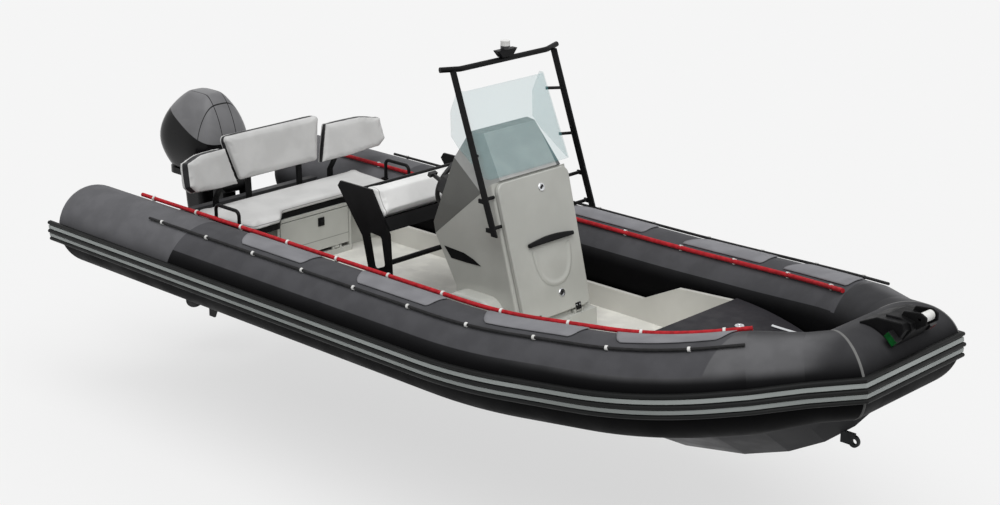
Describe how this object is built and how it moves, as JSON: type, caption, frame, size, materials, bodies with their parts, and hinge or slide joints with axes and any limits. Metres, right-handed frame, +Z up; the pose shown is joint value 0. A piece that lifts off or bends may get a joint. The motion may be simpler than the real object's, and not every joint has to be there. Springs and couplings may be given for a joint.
{
  "type": "rigid inflatable boat",
  "caption": "Rigid inflatable boat with a deep V hull, round tubes, a centre console with a screen, a leaning post, an aft bench and a tilting outboard engine.",
  "frame": {"origin": "on the centreline at the still waterline, half-way between the tubes' stern ends and the bow", "axes": "+X forward, +Y to port, +Z up"},
  "size_m": [6.4031, 2.5386, 2.5566],
  "materials": {
    "tube_fabric": "coated fabric, matt",
    "rail_rubber": "moulded rubber",
    "rail_silver": "silver strip",
    "rope_red": "braided",
    "rope_black": "braided",
    "loop_white": "moulded",
    "hull_grey": "laminate with gelcoat",
    "deck_grey": "laminate with gelcoat, anti-slip floor",
    "lid_dark": "anti-slip",
    "console_grey": "laminate with gelcoat",
    "dash_dark": "satin laminate",
    "screen_clear": "clear acrylic",
    "frame_black": "satin black",
    "lamp_white": "lens on a black base",
    "wheel_black": "grained",
    "cushion_grey": "coated upholstery",
    "panel_black": "grained",
    "engine_black": "gloss black",
    "engine_inner": "plain block",
    "prop_black": "painted",
    "steel": "polished stainless",
    "side_lamp": "coloured lenses"
  },
  "bodies": {
    "boat": {"tube_port": "tube_fabric", "tube_starboard": "tube_fabric", "tube_bow": "tube_fabric", "rub_rail": "rail_rubber", "rail_strips": "rail_silver", "lifelines_red": "rope_red", "lifelines_black": "rope_black", "lifeline_loops": "loop_white", "hull": "hull_grey", "transom": "hull_grey", "deck": "deck_grey", "console_body": "console_grey", "console_step": "console_grey", "dash_hood": "dash_dark", "screen": "screen_clear", "screen_posts": "frame_black", "screen_bar": "frame_black", "mast_light": "lamp_white", "throttle": "wheel_black", "post_plates": "frame_black", "post_bolster": "cushion_grey", "post_panel": "panel_black", "post_bars": "frame_black", "bench_base": "console_grey", "bench_board": "panel_black", "bench_cushion": "cushion_grey", "back_middle": "cushion_grey", "back_wings": "cushion_grey", "back_brackets": "frame_black", "aft_handrails": "frame_black", "engine_clamp": "engine_black", "bow_moulding": "panel_black", "side_lights": "side_lamp", "towing_eyes": "steel"},
    "tilt_bracket": {"engine_swivel": "engine_black"},
    "engine": {"engine_cowl": "engine_black", "engine_block": "engine_inner", "engine_leg": "engine_black"},
    "propeller": {"propeller": "prop_black"},
    "helm": {"steering_wheel": "wheel_black"},
    "hatch": {"console_hatch": "console_grey"},
    "locker_door": {"bench_door": "console_grey"},
    "locker_lid": {"bow_lid": "lid_dark"},
    "roller": {"bow_roller": "loop_white"}
  },
  "joints": [
    {"name": "engine_tilt", "type": "hinge", "parent": "boat", "child": "tilt_bracket", "pos_m": [-2.64, 0, 0.395], "axis": [0, 1, 0], "range_deg": [0, 42]},
    {"name": "engine_steer", "type": "hinge", "parent": "tilt_bracket", "child": "engine", "pos_m": [-2.74, 0, 0.2], "axis": [0, 0, 1], "range_deg": [-30, 30]},
    {"name": "propeller_spin", "type": "hinge", "parent": "engine", "child": "propeller", "pos_m": [-3.01, 0, -0.485], "axis": [1, 0, 0], "continuous": true},
    {"name": "steering_wheel", "type": "hinge", "parent": "boat", "child": "helm", "pos_m": [-0.22051, -0.07, 0.93982], "axis": [0.9236, 0, -0.3833], "range_deg": [-720, 720]},
    {"name": "console_hatch", "type": "hinge", "parent": "boat", "child": "hatch", "pos_m": [0.571, 0, 0.205], "axis": [0, 1, 0], "range_deg": [0, 75]},
    {"name": "bench_locker_door", "type": "hinge", "parent": "boat", "child": "locker_door", "pos_m": [-1.724, 0, 0.096], "axis": [0, 1, 0], "range_deg": [0, 85]},
    {"name": "bow_locker_lid", "type": "hinge", "parent": "boat", "child": "locker_lid", "pos_m": [2.29, 0, 0.416], "axis": [0, 1, 0], "range_deg": [0, 80]},
    {"name": "bow_roller", "type": "hinge", "parent": "boat", "child": "roller", "pos_m": [3.15, 0, 0.865], "axis": [0, 1, 0], "continuous": true}
  ],
  "couplings": [
    {"joint": "steering_wheel", "follows": "engine_steer", "ratio": 24}
  ]
}
